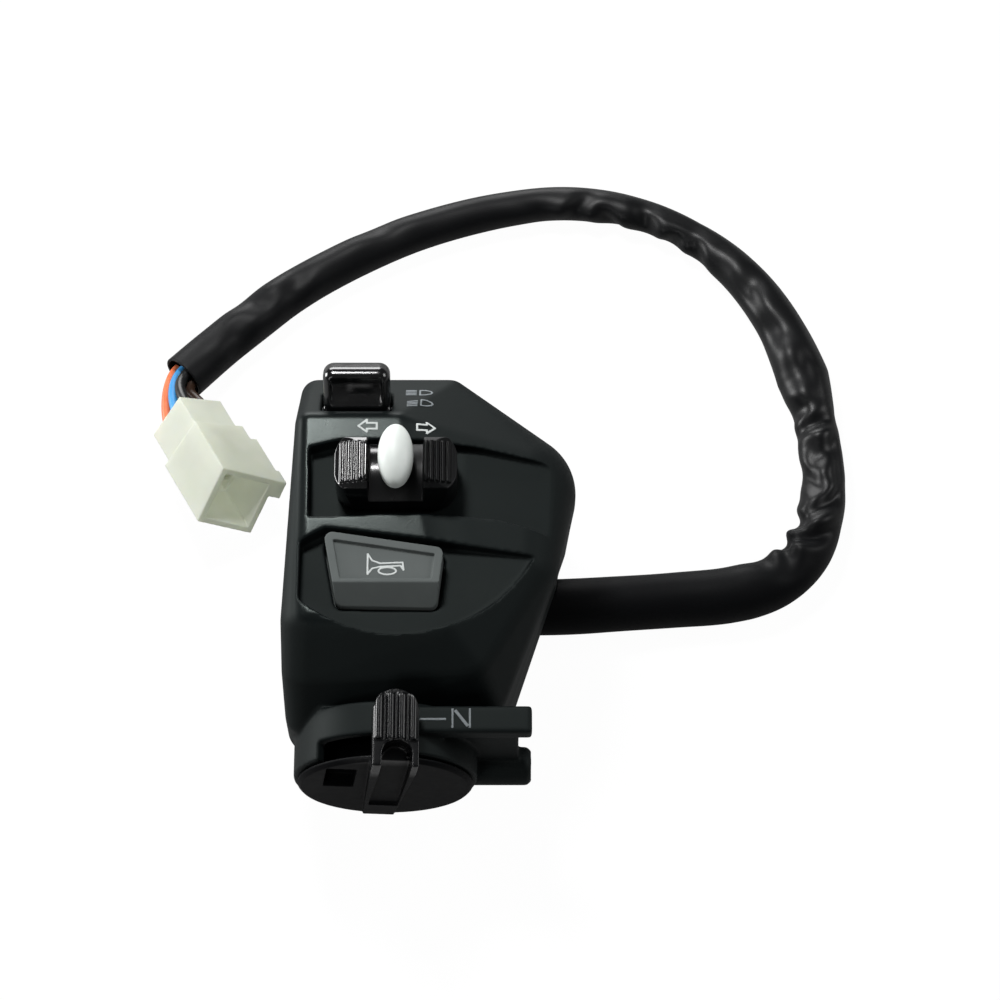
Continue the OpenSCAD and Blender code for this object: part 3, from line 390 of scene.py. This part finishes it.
# %% Assign the hidden finishes
HIDDEN = {
    "case_screws": zinc_steel,
    "turn_carrier": phenolic,
    "turn_bridge": brass,
    "turn_base": phenolic,
    "turn_contacts": brass,
    "horn_base": phenolic,
    "horn_base_screws": zinc_steel,
    "horn_contact": brass,
    "horn_terminal": brass,
    "dimmer_pin": black_steel,
    "dimmer_base": phenolic,
    "dimmer_contacts": brass,
    "dimmer_blade": brass,
    "choke_washer": zinc_steel,
    "choke_clip": zinc_steel,
    "cable_grommet": grommet_rubber,
    "inner_loom": sleeve_pvc,
    "connector_terminals": brass,
}
for node_name, finish in HIDDEN.items():
    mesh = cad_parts[node_name].data
    mesh.materials.clear()
    mesh.materials.append(finish)
print("hidden nodes finished:", len(HIDDEN))

# %% [markdown]
# ## Mould radii
#
# A CAD solid has knife edges, and a real moulding has none: each edge has a radius of a few
# tenths of a millimetre that catches the light. A Bevel modifier would be the usual way, but
# on the loose triangles of a boolean solid it tears. A fine voxel remesh rounds all the
# edges alike, a few smoothing passes take out its steps, and Decimate gives back the flat
# stretches' faces.

# %% Moulded copies of CAD nodes


def deselect():
    bpy.ops.object.select_all(action="DESELECT")


def activate(piece):
    deselect()
    piece.select_set(True)
    bpy.context.view_layer.objects.active = piece


def apply_modifier(piece, name, kind, **settings):
    made = piece.modifiers.new(name, kind)
    for key, value in settings.items():
        setattr(made, key, value)
    activate(piece)
    bpy.ops.object.modifier_apply(modifier=name)


def merged_copy(node_name, name):
    """A CAD node's mesh as a new piece, with its loose triangles merged."""
    piece = bpy.data.objects.new(name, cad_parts[node_name].data.copy())
    bpy.context.scene.collection.objects.link(piece)
    activate(piece)
    bpy.ops.object.mode_set(mode="EDIT")
    bpy.ops.mesh.select_all(action="SELECT")
    bpy.ops.mesh.remove_doubles(threshold=0.002 * MM)
    bpy.ops.object.mode_set(mode="OBJECT")
    return piece


def round_edges(piece, voxel, passes, faces):
    """Round every edge by about one voxel and keep about this many triangles."""
    apply_modifier(piece, "voxels", "REMESH", mode="VOXEL", voxel_size=voxel * MM, adaptivity=0.0)
    apply_modifier(piece, "melt", "SMOOTH", factor=0.5, iterations=passes)
    now = sum(len(p.vertices) - 2 for p in piece.data.polygons)
    if now > faces:
        apply_modifier(piece, "thin", "DECIMATE", ratio=faces / now)
    bpy.ops.object.shade_smooth()


def finish_piece(piece, finish, body, slot, *stands_for):
    piece.data.materials.clear()
    piece.data.materials.append(finish)
    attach(piece, body)
    if stands_for:
        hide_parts(*stands_for)
    count = sum(len(p.vertices) - 2 for p in piece.data.polygons)
    print(piece.name, "on", body, "triangles:", count)


# %% Housing halves
front_shell = merged_copy("front_housing", "front_shell")
round_edges(front_shell, voxel=0.27, passes=18, faces=190000)
finish_piece(front_shell, grained_abs, "housing", "housing_black", "front_housing")

rear_shell = merged_copy("rear_housing", "rear_shell")
round_edges(rear_shell, voxel=0.4, passes=8, faces=110000)
finish_piece(rear_shell, grained_abs, "housing", "housing_black", "rear_housing")

# %% [markdown]
# ## Knobs and buttons
#
# The small mouldings take a finer voxel, because their edges are sharper and they are seen
# against the dark housing by their highlights alone.

# %% Slider, oval button, horn, dimmer and lever
slider_knob = merged_copy("turn_slider", "slider_knob")
round_edges(slider_knob, voxel=0.13, passes=14, faces=70000)
finish_piece(slider_knob, gloss_abs, "turn", "knob_black", "turn_slider")

oval_button = merged_copy("cancel_button", "oval_button")
round_edges(oval_button, voxel=0.12, passes=12, faces=30000)
finish_piece(oval_button, white_abs, "cancel", "button_white", "cancel_button")

horn_key = merged_copy("horn_button", "horn_key")
round_edges(horn_key, voxel=0.14, passes=7, faces=70000)
finish_piece(horn_key, grey_abs, "horn", "button_grey", "horn_button")

dimmer_paddle = merged_copy("dimmer_rocker", "dimmer_paddle")
round_edges(dimmer_paddle, voxel=0.14, passes=30, faces=60000)
finish_piece(dimmer_paddle, gloss_abs, "dimmer", "knob_black", "dimmer_rocker")

thumb_lever = merged_copy("choke_lever", "thumb_lever")
round_edges(thumb_lever, voxel=0.18, passes=5, faces=110000)
finish_piece(thumb_lever, acetal, "choke", "lever_black", "choke_lever")

# %% [markdown]
# ## Return springs
#
# The two buttons press on coil springs. A spring that kept its length would cut through its
# button at the end of the push; here each coil is a smoothed copy of its CAD node, with a mesh of
# its own.


def return_spring(node_name, name, body):
    coil = merged_copy(node_name, name)
    bpy.ops.object.shade_smooth()
    finish_piece(coil, zinc_steel, body, "steel", node_name)
    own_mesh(coil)


return_spring("cancel_spring", "cancel_coil", "turn")
return_spring("horn_spring", "horn_coil", "housing")

# %% [markdown]
# ## Connector
#
# A natural nylon block for six blades. Its moulded edges are rounder than those of the ABS.

# %% Connector body
plug_shell = merged_copy("connector_body", "plug_shell")
round_edges(plug_shell, voxel=0.16, passes=8, faces=90000)
finish_piece(plug_shell, natural_nylon, "housing", "nylon", "connector_body")

# %% [markdown]
# ## Printed signs
#
# The signs are pad-printed in thick paint. Each stroke is a narrow grid, stretched, turned and
# moved in edit mode. The strokes of a sign are joined and laid on the moulding with Shrinkwrap,
# which also follows the panel where it starts to curve. Solidify gives the film its thickness
# and a fine voxel remesh melts the overlapping strokes into one. A texture would be quicker,
# but then the sign would blur and could not be moved.

# %% Strokes and signs
PAINT_MM = 0.16
SLOPE = math.radians(37.3852)
PANEL_AT = (0, 16.5176, 26.7122)


def stroke(start, stop, width):
    """A flat bar from one point to another, in mm on the XY plane."""
    run = Vector(stop) - Vector(start)
    middle = (Vector(start) + Vector(stop)) / 2
    deselect()
    bpy.ops.mesh.primitive_grid_add(
        x_subdivisions=10, y_subdivisions=2, size=1, enter_editmode=True
    )
    bpy.ops.transform.resize(value=((run.length + 0.6 * width) * MM, width * MM, 1))
    turn = -math.atan2(run.y, run.x)
    bpy.ops.transform.rotate(value=turn, orient_axis="Z", center_override=(0, 0, 0))
    bpy.ops.transform.translate(value=(middle.x * MM, middle.y * MM, 0))
    bpy.ops.object.mode_set(mode="OBJECT")
    return bpy.context.active_object


def sign(name, strokes, place, tilt, moulding, body, paint):
    """Join the strokes, lay them on the moulding and melt them together."""
    bars = [stroke(*one) for one in strokes]
    activate(bars[0])
    for bar in bars:
        bar.select_set(True)
    bpy.ops.object.join()
    made = bars[0]
    made.name = name
    bpy.ops.object.mode_set(mode="EDIT")
    bpy.ops.mesh.select_all(action="SELECT")
    bpy.ops.transform.rotate(value=-tilt, orient_axis="X", center_override=(0, 0, 0))
    bpy.ops.transform.translate(value=[v * MM for v in place])
    bpy.ops.object.mode_set(mode="OBJECT")
    apply_modifier(
        made, "lay", "SHRINKWRAP", target=moulding, wrap_method="NEAREST_SURFACEPOINT",
        wrap_mode="ABOVE_SURFACE", offset=0.0,
    )
    apply_modifier(made, "film", "SOLIDIFY", thickness=PAINT_MM * MM, offset=0.0)
    round_edges(made, voxel=0.05, passes=2, faces=9000)
    finish_piece(made, paints[paint], body, "button_white")


def closed(points, width):
    return [(p, q, width) for p, q in zip(points, points[1:] + points[:1])]


# %% Turn arrows
ARROW_STROKE = 0.42
ARROW = [
    (-1.9, 0), (-0.2, 1.35), (-0.2, 0.65), (1.8, 0.65), (1.8, -0.65), (-0.2, -0.65), (-0.2, -1.35),
]
left_arrow = [(x - 11.6, y + 9.7) for x, y in ARROW]
right_arrow = [(0.1 - x, y + 9.6) for x, y in ARROW]
for name, arrow, height in (("sign_left", left_arrow, 30), ("sign_right", right_arrow, 29.5)):
    strokes = closed(arrow, ARROW_STROKE)
    sign(name, strokes, (0, 0, height), 0, front_shell, "housing", "white")

# %% Lamp signs beside the dimmer
# Each sign is four beams beside a lamp; the upper one shines level, the lower one slants
BEAM_STROKE = 0.34
LAMP_GLASS = [
    (-1.3, -1), (-1.3, 1), (-0.2, 0.95), (0.9, 0.5), (1.2, 0), (0.9, -0.5), (-0.2, -0.95),
]


def lamp_sign(x, y, slant):
    beams = [
        ((x - 4.1, y + d - 2 * slant), (x - 2.1, y + d - slant), BEAM_STROKE)
        for d in (-0.9, -0.3, 0.3, 0.9)
    ]
    glass = [(x + dx, y + dy) for dx, dy in LAMP_GLASS]
    return beams + closed(glass, BEAM_STROKE)


both_beams = lamp_sign(0, 4.0, 0) + lamp_sign(0.3, 0.0, 0.4)
sign("sign_beams", both_beams, PANEL_AT, -SLOPE, front_shell, "housing", "worn")

# %% Choke signs on the cable guide
choke_marks = [
    ((-1.0, -49.9), (4.3, -49.9), 0.45), ((5.7, -47.8), (5.7, -51.6), 0.4),
    ((6.3, -48.2), (8.6, -51.2), 0.6), ((9.1, -47.8), (9.1, -51.6), 0.4),
]
sign("sign_choke", choke_marks, (0, 0, 22.4), 0, front_shell, "housing", "worn")

# %% Bugle on the horn button
HORN_STROKE = 0.36
turns = [a * math.pi / 8 for a in range(16)]
loop = [(-7.2 + 1.75 * math.cos(a), -22.0 + 0.75 * math.sin(a)) for a in turns]
bell = [
    (-11.1, -18.4), (-10.2, -19.8), (-8.6, -20.4), (-4.2, -20.2), (-4.0, -21.8),
    (-4.6, -20.9), (-8.6, -21.1), (-10.2, -21.5), (-11.1, -22.7),
]
bugle = closed(bell, HORN_STROKE) + closed(loop, HORN_STROKE)
sign("sign_horn", bugle, (0, 0, 30.7), 0, horn_key, "horn", "white")

# %% [markdown]
# ## Harness sleeve
#
# A loose vinyl tube over six wires. It leaves the rear half on the right, lies on the table
# in a wide loop and ends just short of the connector. The tube is swept along the same points
# as the CAD solid. Vinyl doesn't stretch, so at bends it buckles into sharp cross folds: each
# fold is a shallow dent with a raised lip, placed where the photograph shows one.

# %% The sleeve's path
ROUTE_MM = [
    (18, -12.4, -14.4), (25, -12.4, -14.4), (32, -12, -14.8), (40, -11, -16), (52, -9.8, -17),
    (64, -8.6, -17), (74, -5.5, -17), (81, 1, -17), (84.5, 11, -17), (85, 22, -17), (83.5, 34, -17),
    (80.5, 46, -17), (76, 57, -17), (69.5, 67, -17), (61, 75.5, -17), (51, 81.5, -17),
    (40, 85, -17), (28, 86, -17), (16, 84.5, -17), (4, 81.5, -17), (-8, 77, -17), (-20, 71, -17),
    (-31, 64, -17), (-40, 56.5, -17), (-48, 49, -16.5), (-54.5, 42, -15.5),
]
STEPS = 16


def spline(points, steps):
    """A smooth curve through the points, with this many steps between two of them."""
    last = len(points) - 1
    out = []
    for i in range(last):
        a, b, c, d = (points[min(max(k, 0), last)] for k in (i - 1, i, i + 1, i + 2))
        for s in range(steps):
            t = s / steps
            square = (2 * a - 5 * b + 4 * c - d) * t * t
            cube = (3 * b - a - 3 * c + d) * t**3
            out.append(0.5 * (2 * b + (c - a) * t + square + cube))
    return out + [points[last]]


path = spline([Vector(p) for p in ROUTE_MM], STEPS)
along = [0.0]
for p, q in zip(path, path[1:]):
    along.append(along[-1] + (q - p).length)
print("sleeve length in mm:", round(along[-1], 1))

# %% The sleeve's folds
TABLE_Z = -22.0
TUCKED = 2.0  # the tables below count from this far along the sleeve
# Half width of the sleeve in mm at some distances along it, measured in the photograph
HALF_WIDTHS = [
    (0, 5.9), (48, 5.9), (60, 5.3), (72, 4.8), (88, 4.7), (97, 4.5), (107, 5.8), (119, 5.1),
    (129, 4.7), (140, 4.2), (150, 3.6), (165, 3.6), (180, 3.8), (215, 4.2), (240, 4.6),
    (262, 5.0), (290, 5.3),
]
# Cross folds: distance in mm, side in degrees (0 inside the loop, 90 on top), reach in radians,
# skew in mm per radian, depth in mm, half width in mm
FOLDS = [
    (55, 70, 0.7, 2.5, 0.5, 2.2), (61, 40, 0.8, -3.0, 1.1, 1.7), (66, 80, 0.9, 3.5, 1.2, 1.5),
    (70, 20, 0.8, -2.0, 1.2, 1.6), (75, 100, 0.8, 4.0, 0.9, 1.5), (81, 40, 0.8, -3.5, 0.9, 2.0),
    (87, 95, 0.7, 3.0, 0.6, 1.8), (94, 75, 1.0, 0.8, 1.1, 1.3), (98, 40, 0.8, -1.0, 0.8, 1.9),
    (107, 80, 0.8, 1.5, 0.6, 2.6), (118, 60, 0.8, -2.0, 0.5, 2.8), (131, 75, 0.7, 2.0, 0.5, 2.4),
    (147, 30, 0.8, 2.0, 0.8, 1.9), (153, 15, 0.7, -1.5, 0.9, 1.8), (161, 45, 0.9, 1.5, 0.8, 2.0),
    (170, 15, 0.7, 2.5, 0.9, 1.7), (177, 50, 0.8, -2.0, 0.7, 1.8), (186, 30, 0.7, 1.0, 0.4, 2.5),
    (222, 110, 0.7, 2.0, 0.4, 3.0), (246, 70, 0.8, -2.5, 0.5, 2.6), (255, 105, 0.8, 2.0, 0.6, 2.4),
    (263, 60, 0.8, -2.0, 0.5, 2.6),
]
FOLD_SPREAD = 1.35  # widens every cross fold, for highlights as soft as the photograph's
FOLD_END = 5  # a fold ends this many half widths from its middle
LIP = 1.2  # how fast a fold's dent turns into its raised lip
WAVER_MM = 0.2  # slow unevenness of the sleeve's radius
# Long folds: from mm, to mm, side in degrees, half width in radians, depth in mm
STREAKS = [
    (72, 94, 125, 0.28, 0.55), (79, 92, 60, 0.35, 0.6), (97, 118, 95, 0.3, 0.5),
    (112, 136, 55, 0.3, 0.45), (138, 166, 100, 0.35, 0.35), (236, 268, 85, 0.35, 0.4),
]


def table(rows, s):
    """The value at s between the rows of a table."""
    for (s0, v0), (s1, v1) in zip(rows, rows[1:]):
        if s <= s1:
            return v0 + (v1 - v0) * (s - s0) / (s1 - s0)
    return rows[-1][1]


def sleeve_radius(s, angle):
    """Radius in mm at a distance along the sleeve and an angle round it."""
    waver = noise.noise((s * 0.05, math.cos(angle), math.sin(angle)))
    whole = table(HALF_WIDTHS, s) + WAVER_MM * waver
    for at, side, reach, skew, depth, width in FOLDS:
        round_by = math.remainder(angle - math.radians(side), 2 * math.pi)
        x = (s - at - skew * round_by) / (FOLD_SPREAD * width)
        if abs(x) < FOLD_END:
            fade = math.exp(-((round_by / reach) ** 2))
            whole -= depth * fade * (1 - LIP * x * x) * math.exp(-0.5 * x * x)
    for start, stop, side, width, depth in STREAKS:
        if start < s < stop:
            round_by = math.remainder(angle - math.radians(side), 2 * math.pi)
            fade = math.sin(math.pi * (s - start) / (stop - start))
            whole -= depth * fade * math.exp(-((round_by / width) ** 2))
    return whole


print("folds:", len(FOLDS), "streaks:", len(STREAKS))

# %% Sweep the sleeve
SIDES = 44
CLEAR_MM = 0.05  # the sleeve stays this far above the table
SLEEVE_WALL_MM = 0.6
verts, faces = [], []
for i, p in enumerate(path):
    ahead = (path[min(i + 1, len(path) - 1)] - path[max(i - 1, 0)]).normalized()
    side = Vector((0, 0, 1)).cross(ahead).normalized()
    up = ahead.cross(side)
    for k in range(SIDES):
        angle = 2 * math.pi * k / SIDES
        outward = math.cos(angle) * side + math.sin(angle) * up
        v = p + sleeve_radius(along[i] - TUCKED, angle) * outward
        v.z = max(v.z, TABLE_Z + CLEAR_MM)
        verts.append(v * MM)
for i in range(len(path) - 1):
    for k in range(SIDES):
        a, b = i * SIDES + k, i * SIDES + (k + 1) % SIDES
        faces.append((a, b, b + SIDES, a + SIDES))
mesh = bpy.data.meshes.new("vinyl_sleeve")
mesh.from_pydata(verts, [], faces)
sleeve = bpy.data.objects.new("vinyl_sleeve", mesh)
bpy.context.scene.collection.objects.link(sleeve)
activate(sleeve)
bpy.ops.object.mode_set(mode="EDIT")
bpy.ops.mesh.select_all(action="SELECT")
bpy.ops.mesh.normals_make_consistent(inside=False)
bpy.ops.object.mode_set(mode="OBJECT")
apply_modifier(sleeve, "wall", "SOLIDIFY", thickness=SLEEVE_WALL_MM * MM, offset=-1.0)
apply_modifier(sleeve, "round", "SUBSURF", levels=1, render_levels=1)
bpy.ops.object.shade_smooth()
finish_piece(sleeve, sleeve_pvc, "housing", "sleeve", "harness_sleeve")

# %% [markdown]
# ## Wires
#
# Six insulated wires come out of the cut end of the sleeve and turn into the back of the
# connector, in the same order on both sides so that none crosses another.

# %% Sweep the wires
PLUG_DEG, PLUG_LIFT, PLUG_ROLL = math.radians(-61), math.radians(11.7), math.radians(-44)
PLUG_SIZE = 13.4
rolled = math.cos(PLUG_ROLL) - math.sin(PLUG_ROLL)
PLUG_AT = Vector((-53, 31, math.cos(PLUG_LIFT) * PLUG_SIZE / 2 * rolled + TABLE_Z))
CELL_ACROSS, CELL_THROUGH = 3.7, 5.0
WIRE_R, WIRE_PITCH, WIRE_BOW, WIRE_IN = 1.1, 2.6, 4.5, 1.2
BUNDLE_TURN = math.radians(45)
WIRE_AT = {
    "wire_orange": (1, 0.5), "wire_blue": (0, 0.5), "wire_black": (-1, 0.5),
    "wire_brown": (-1, -0.5), "wire_green": (0, -0.5), "wire_yellow": (1, -0.5),
}
end = Vector(ROUTE_MM[-1])
leaving = (end - Vector(ROUTE_MM[-2])).normalized()
level = Vector((leaving.y, -leaving.x, 0)).normalized()
upright = Vector((0, 0, 1))
column_way = math.cos(BUNDLE_TURN) * level - math.sin(BUNDLE_TURN) * upright
row_way = math.sin(BUNDLE_TURN) * level + math.cos(BUNDLE_TURN) * upright
flat = math.cos(PLUG_LIFT)
into = Vector((flat * math.cos(PLUG_DEG), flat * math.sin(PLUG_DEG), math.sin(PLUG_LIFT)))
left = Vector((-math.sin(PLUG_DEG), math.cos(PLUG_DEG), 0))
up = into.cross(left)
through = math.cos(PLUG_ROLL) * left + math.sin(PLUG_ROLL) * up
across = math.cos(PLUG_ROLL) * up - math.sin(PLUG_ROLL) * left
for wire_name, (column, row) in WIRE_AT.items():
    first = end + WIRE_PITCH * (column * column_way + row * row_way) - WIRE_IN * leaving
    cell = PLUG_AT - CELL_ACROSS * column * across - CELL_THROUGH * row * through
    final = cell + WIRE_IN * into
    curve = bpy.data.curves.new(wire_name + "_lead", "CURVE")
    curve.dimensions = "3D"
    curve.bevel_depth = WIRE_R * MM
    curve.bevel_resolution = 6
    curve.resolution_u = 24
    curve.use_fill_caps = True
    line = curve.splines.new("BEZIER")
    line.bezier_points.add(1)
    ends = zip(line.bezier_points, (first, final), (leaving, into))
    for point, spot, pull in ends:
        point.co = spot * MM
        point.handle_left = (spot - WIRE_BOW * pull) * MM
        point.handle_right = (spot + WIRE_BOW * pull) * MM
    lead = bpy.data.objects.new(wire_name + "_lead", curve)
    bpy.context.scene.collection.objects.link(lead)
    activate(lead)
    bpy.ops.object.convert(target="MESH")
    bpy.ops.object.shade_smooth()
    finish_piece(lead, wire_pvc[wire_name], "housing", wire_name, wire_name)

print("cord declared, mm:", round(along[-1]))

# %% [markdown]
# ## Table and light
#
# The photograph is a cut-out on white. The floor shows white to the camera and still takes a
# soft shadow. A small lamp close above the upper left gives the housing a sheen that fades
# towards the lower right, as in the photograph. A low lamp at the left catches the ribs, a
# card behind shines on the sloping panel, and two weak lamps fill from the front and the right.

# %% Floor, world and lamps
# How much of the floor is glow rather than paper: to the camera, and in a reflection
SEEN_SHARE, MIRRORED_SHARE = 0.86, 0.15

deselect()
bpy.ops.mesh.primitive_plane_add(size=6, location=(0, 0, TABLE_Z * MM))
floor = bpy.context.active_object
floor.name = "table"
paper = bpy.data.materials.new("white paper table")
paper.use_nodes = True
tree = paper.node_tree
tree.nodes.clear()
matt = add(tree, "ShaderNodeBsdfDiffuse", {"Color": linear("9a9a9a")})
glow = add(tree, "ShaderNodeEmission", {"Color": (1, 1, 1, 1), "Strength": 1.13})
ray = add(tree, "ShaderNodeLightPath")
direct = add(
    tree, "ShaderNodeMath",
    {0: ray.outputs["Is Camera Ray"], 1: ray.outputs["Is Transmission Ray"]},
    operation="MAXIMUM",
)
strong = add(
    tree, "ShaderNodeMath", {0: direct.outputs[0], 1: SEEN_SHARE}, operation="MULTIPLY"
)
mirrored = add(
    tree, "ShaderNodeMath",
    {0: ray.outputs["Is Glossy Ray"], 1: MIRRORED_SHARE}, operation="MULTIPLY",
)
seen = add(
    tree, "ShaderNodeMath", {0: strong.outputs[0], 1: mirrored.outputs[0]}, operation="MAXIMUM"
)
blend = add(
    tree, "ShaderNodeMixShader", {0: seen.outputs[0], 1: matt.outputs[0], 2: glow.outputs[0]}
)
add(tree, "ShaderNodeOutputMaterial", {"Surface": blend.outputs[0]})
floor.data.materials.append(paper)

world = bpy.data.worlds.new("studio")
bpy.context.scene.world = world
world.use_nodes = True
tree = world.node_tree
tree.nodes.clear()
sky = add(tree, "ShaderNodeBackground", {"Color": (1, 1, 1, 1), "Strength": 0.1})
add(tree, "ShaderNodeOutputWorld", {"Surface": sky.outputs[0]})


def lamp(name, place, aim, size, power):
    made = bpy.data.lights.new(name, "AREA")
    made.shape = "SQUARE"
    made.size = size
    made.energy = power
    stand = bpy.data.objects.new(name, made)
    stand.location = place
    stand.rotation_euler = (Vector(aim) - Vector(place)).to_track_quat("-Z", "Y").to_euler()
    stand.visible_camera = False
    bpy.context.scene.collection.objects.link(stand)


lamp("key", (-0.068, 0.158, 0.341), aim=(0, 0, 0), size=0.07, power=0.95)
lamp("left", (-0.65, 0.2, 0.1), aim=(0, 0, 0), size=0.3, power=4.0)
lamp("back", (-0.1, 0.55, 0.08), aim=(0, 0.02, 0.02), size=0.3, power=2.2)
lamp("front", (-0.35, -0.6, 0.5), aim=(0, 0, 0), size=0.3, power=0.9)
lamp("right", (0.6, 0.1, 0.4), aim=(0, 0, 0), size=0.3, power=1.3)
print("lamps:", len(bpy.data.lights))

# %% View transform
bpy.context.scene.view_settings.view_transform = "Standard"
